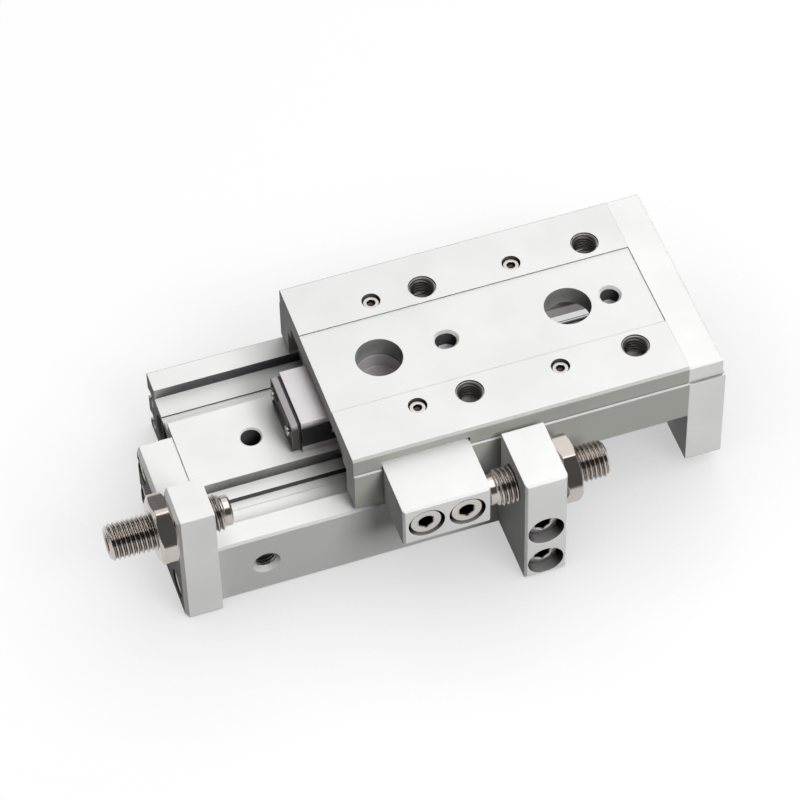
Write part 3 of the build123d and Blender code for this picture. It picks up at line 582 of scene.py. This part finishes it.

# The table: one milled and blasted aluminium plate with skirts that hang over the
# body, clear-anodised. Its top is two raised strips with a low centre between.
# Its sides are painted a greyer tone than its blasted top as shade, and painted shade darkens its skirts'
# feet.
anodised_plate = anodised(
    "clear_anodised_plate", "#D3D3D2", "#DADAD9", 0.42, line_length=22 * MM, line_width=0.4 * MM,
    depth=0.0022 * MM, skin="#A7A7A1", hollow="#464648")
dress(anodised_plate, "table")
RAIL = dict(head=1.78, height=1.25, shank=1.6, key=1.5)
set_screws("rail_screws", "slide", dict(RAIL, grip=7.5), UP, sunk=0.35)

# The thread inserts: stainless sleeves with an M5 thread, screwed into the table
# so that a load can be bolted on and off many times.
insert_length = 4.6
insert_pitch = 0.8
insert_wall = 2.97
insert_root = 2.72
insert_crest = 2.3
insert_chamfer = 0.1
insert_lead_in = 0.4
insert_sides = 48
for index, (point, way) in enumerate(seats("thread_inserts", insert_length, UP)):
    shape = bmesh.new()
    add_rings(shape, [
        (0, insert_root), (0, insert_wall), (insert_length - insert_chamfer, insert_wall),
        (insert_length, insert_wall - insert_chamfer), (insert_length, insert_root)], insert_sides)
    insert = new_piece(f"thread_insert_{index + 1}", shape)
    cut_thread(insert, cut_steel, insert_length, insert_pitch, insert_root, insert_crest, insert_lead_in,
               insert_sides)
    finish_mesh(insert, facing(point, way))
    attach(insert, "slide")
    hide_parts("thread_inserts")

# The rails: two bars of hardened bearing steel, screwed up under the table. Each
# has one ground ball groove, and shows the same fine wheel lines as the block.
dress(ground_steel, "rail_near", "rail_far")

# The end plate: milled aluminium, blasted and clear-anodised, screwed to the
# table's front. It pulls and pushes the table through the two piston rods.
dress(anodised_block, "end_plate")
set_screws("end_plate_screws", "slide", dict(M3, grip=13.4), FRONT)
set_screws("rod_bolts", "slide", dict(M3, grip=12.4), FRONT)

# The piston rods: round steel bars, hard-chromed and polished, so that they show a
# cool mirror of the floor. Each is screwed to the end plate by its rod bolt.
hard_chrome = metal(
    "hard_chromed_rod", "#D9DADB", "#E2E3E4", 0.12,
    line_length=0.2 * MM, line_width=4 * MM, grain=0.3 * MM, depth=0.0002 * MM, edge_shine=0.2)
dress(hard_chrome, "piston_rod_near", "piston_rod_far")

# The stopper block: a milled aluminium block in a slot of the table's near skirt.
# It meets the front stop bolt at the end of the stroke.
dress(anodised_block, "stopper_block")
set_screws("stopper_block_screws", "slide", dict(M4, grip=12.8), NEAR)

# The stop bolts: carbon steel with a rolled fine thread of 1 mm pitch, bright
# nickel plated. The inner end is a plain hardened nose that takes the table's blow,
# and the outer end has a hexagon socket for the key that sets the stroke.
# Painted shade darkens the thread's roots and the inside of the socket.
nickel_plate = socket_shaded_steel("bright_nickel_plate", "#B8B0AA", "#CAC2BC", 0.16, hollow="#3A2E28",
                           reach=0.7 * MM, floors=0.6)
BOLT_SIDES = 48
bolt_length = 26.0
bolt_pitch = 1.0
bolt_crest = 3.95
bolt_root = 3.4
bolt_lead_in = 0.55
bolt_key = 4.0
bolt_bevel = 0.2
socket_mouth = 2.6
socket_depth = 4.0
socket_tip = 0.5
nose_radius = 3.2
nose_length = 1.6
nose_blend = 0.3
nose_round = 0.45


def stop_bolt(name, node, body, way):
    """Puts a bolt in place of a CAD node's, pointing along way. Its thread starts behind the nose."""
    (tip, way), = seats(node, bolt_length, way)
    start = nose_length + nose_blend
    threaded = bolt_length - bolt_bevel - start
    key = hexagon(bolt_key)
    shape = bmesh.new()
    shape.verts.layers.float.new("recess")
    nose = add_rings(shape, [
        (start, bolt_root), (start - 0.25, nose_radius), (nose_round, nose_radius), (0.1, nose_radius - 0.3),
        (0, nose_radius - 0.5), (0, 0.05)], BOLT_SIDES)
    outer_end = add_rings(shape, [
        (start + threaded, bolt_root), (bolt_length, bolt_root - 0.15), (bolt_length, socket_mouth),
        (bolt_length - 0.3, key, 0.7), (bolt_length - 1.2, key, 1.0), (bolt_length - socket_depth, key, 1.0),
        (bolt_length - socket_depth - socket_tip, 0.4, 1.0)], BOLT_SIDES)
    shape.faces.new(nose[-1])
    shape.faces.new(outer_end[-1])
    bmesh.ops.translate(shape, vec=(-start * MM, 0, 0), verts=shape.verts)
    bolt = new_piece(name, shape)
    cut_thread(bolt, nickel_plate, threaded, bolt_pitch, bolt_root, bolt_crest, bolt_lead_in, BOLT_SIDES)
    finish_mesh(bolt, facing(tip, way) @ Matrix.Translation((start * MM, 0, 0)))
    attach(bolt, body)
    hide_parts(node)


stop_bolt("front_stop_bolt", "front_adjuster", "front_stop", FRONT)
stop_bolt("rear_stop_bolt", "rear_adjuster", "rear_stop", REAR)

# The lock nuts: hexagon nuts, 13 mm across flats, bright nickel plated. Both faces
# are turned to a shallow cone, which leaves the curved edge at each corner.
NUT_SIDES = 72
nut_across = 13.0
nut_corner = 7.3
nut_height = 4.0
nut_face = 6.1
nut_bore = 4.05
nut_mouth = 4.45
nut_mouth_depth = 0.45
nut_cone = math.radians(28)


def nut_side(turn):
    """The radius of the nut's side: a hexagon with its corners turned down."""
    return min(nut_corner, hexagon(nut_across)(turn + math.pi / 6))


def nut_low(turn):
    """Where the side starts, above the lower face's cone."""
    return (nut_side(turn) - nut_face) * math.tan(nut_cone)


def nut_high(turn):
    """Where the side ends, below the upper face's cone."""
    return nut_height - nut_low(turn)


def lock_nut(name, node, body, way, turned_by):
    """Puts a nut in place of a CAD node's, standing out along way and turned by so many degrees."""
    (seat, way), = seats(node, nut_height, way)
    shape = bmesh.new()
    add_rings(shape, [
        (nut_mouth_depth, nut_bore), (0, nut_mouth), (0, nut_face), (nut_low, nut_side),
        (nut_high, nut_side), (nut_height, nut_face), (nut_height, nut_mouth),
        (nut_height - nut_mouth_depth, nut_bore)], NUT_SIDES, closed=True)
    nut = new_piece(name, shape)
    nut.data.materials.append(nickel_plate)
    turn = Matrix.Rotation(math.radians(turned_by), 4, "X")
    finish_mesh(nut, facing(seat, way) @ turn, sharp_over=20)
    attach(nut, body)
    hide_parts(node)


lock_nut("front_nut", "front_lock_nut", "front_nut", FRONT, -10)
lock_nut("rear_nut", "rear_lock_nut", "rear_nut", REAR, 17)

# The studio: a plain pale floor that keeps the lamps' shadow, deepened by a painted shadow around the part,
# one soft box above, a key light from the front right, and a large dim panel behind with a low fill.
FLOOR_HALF = 4.0
FLOOR_DROP = 0.05 * MM
FLOOR_LIFT = 0.87
SHADOW_REACH = 40 * MM
DEEPEST_SHADOW = 0.5


def seen_directly(tree):
    """1 for the rays of the camera, of reflections and of glass, which meet a white room."""
    path = put(tree, "ShaderNodeLightPath")
    either = put(tree, "ShaderNodeMath", {
        0: path.outputs["Is Camera Ray"], 1: path.outputs["Is Glossy Ray"]}, operation="MAXIMUM")
    return put(tree, "ShaderNodeMath", {
        0: either, 1: path.outputs["Is Transmission Ray"]}, operation="MAXIMUM")


def floor_material():
    """A grey card that looks white from afar; it keeps the lamps' shadow, and its glow dims near the part as
    a painted shadow.
    """
    finish = bpy.data.materials.new("pale_floor")
    finish.use_nodes = True
    tree = finish.node_tree
    tree.nodes.clear()
    card = put(tree, "ShaderNodeBsdfDiffuse", {"Color": colour("#5C5C5C")})
    # Painted shadow: the floor's glow dims where the part closes it in.
    near = put(tree, "ShaderNodeAmbientOcclusion", {"Distance": SHADOW_REACH}, samples=6)
    shade = put(tree, "ShaderNodeMapRange", {
        "Value": near.outputs["AO"], "To Min": DEEPEST_SHADOW * FLOOR_LIFT, "To Max": FLOOR_LIFT})
    lift = put(tree, "ShaderNodeMath", {0: seen_directly(tree), 1: shade}, operation="MULTIPLY")
    glow = put(tree, "ShaderNodeEmission", {"Strength": lift})
    both = put(tree, "ShaderNodeAddShader", {0: card, 1: glow})
    put(tree, "ShaderNodeOutputMaterial", {"Surface": both})
    return finish


floor_mesh = bpy.data.meshes.new("floor")
corners = [(x * FLOOR_HALF, y * FLOOR_HALF, -FLOOR_DROP) for x, y in ((-1, -1), (1, -1), (1, 1), (-1, 1))]
floor_mesh.from_pydata(corners, [], [(0, 1, 2, 3)])
floor_mesh.materials.append(floor_material())
floor = bpy.data.objects.new("floor", floor_mesh)
bpy.context.scene.collection.objects.link(floor)


def soft_lamp(name, place, target, width, depth, watts, mirrored=True):
    """A rectangular lamp in metres that faces a point on the part, and may show in metal."""
    lamp = bpy.data.lights.new(name, "AREA")
    lamp.shape = "RECTANGLE"
    lamp.size = width
    lamp.size_y = depth
    lamp.energy = watts
    stand = bpy.data.objects.new(name, lamp)
    stand.location = place
    stand.rotation_euler = (Vector(target) - Vector(place)).to_track_quat("-Z", "Y").to_euler()
    stand.visible_glossy = mirrored
    bpy.context.scene.collection.objects.link(stand)


part_middle = (0.02, 0, 0.02)
soft_lamp("overhead", (0.20, 0.00, 0.95), (0.03, 0, 0.02), 0.9, 0.8, 4.7)
soft_lamp("key", (0.33, -0.68, 0.70), part_middle, 0.45, 0.45, 10.0, mirrored=False)
soft_lamp("far_panel", (0.45, 0.95, 1.05), part_middle, 1.2, 1.0, 4.5)
soft_lamp("far_fill", (0.70, 1.30, 0.45), part_middle, 1.2, 0.7, 7.0, mirrored=False)

world = bpy.data.worlds.new("studio")
bpy.context.scene.world = world
world.use_nodes = True
world.node_tree.nodes.clear()
studio = world.node_tree
heading = put(studio, "ShaderNodeSeparateXYZ", {0: put(studio, "ShaderNodeTexCoord").outputs["Generated"]})
# The room is white up to a low height and dim above it, and it lights the part faintly.
white_up_to, dim_from = 0.15, 0.30
dim_level, light_level = 0.11, 0.04
low = put(studio, "ShaderNodeMapRange", {
    "Value": heading.outputs["Z"], "From Min": dim_from, "From Max": white_up_to})
wall = put(studio, "ShaderNodeMapRange", {"Value": low, "To Min": dim_level, "To Max": 1.0})
seen = put(studio, "ShaderNodeMapRange", {
    "Value": seen_directly(studio), "To Min": light_level, "To Max": wall})
room = put(studio, "ShaderNodeBackground", {"Color": colour("#FAFAFA"), "Strength": seen})
put(studio, "ShaderNodeOutputWorld", {"Surface": room})

# The camera: the photograph's own view, from above the near rear corner. Its lens
# and place were fitted to the corners of the part that the photograph shows.
camera = bpy.data.cameras.new("camera")
camera.sensor_width = 36.0
camera.lens = 172.98
camera.clip_start = 0.05
eye = bpy.data.objects.new("camera", camera)
eye.location = (-0.142625, -0.484939, 0.642383)
eye.rotation_euler = [math.radians(degrees) for degrees in (39.1351, 0.9535, -18.8721)]
bpy.context.scene.collection.objects.link(eye)
bpy.context.scene.camera = eye
bpy.context.scene.view_settings.view_transform = "Standard"
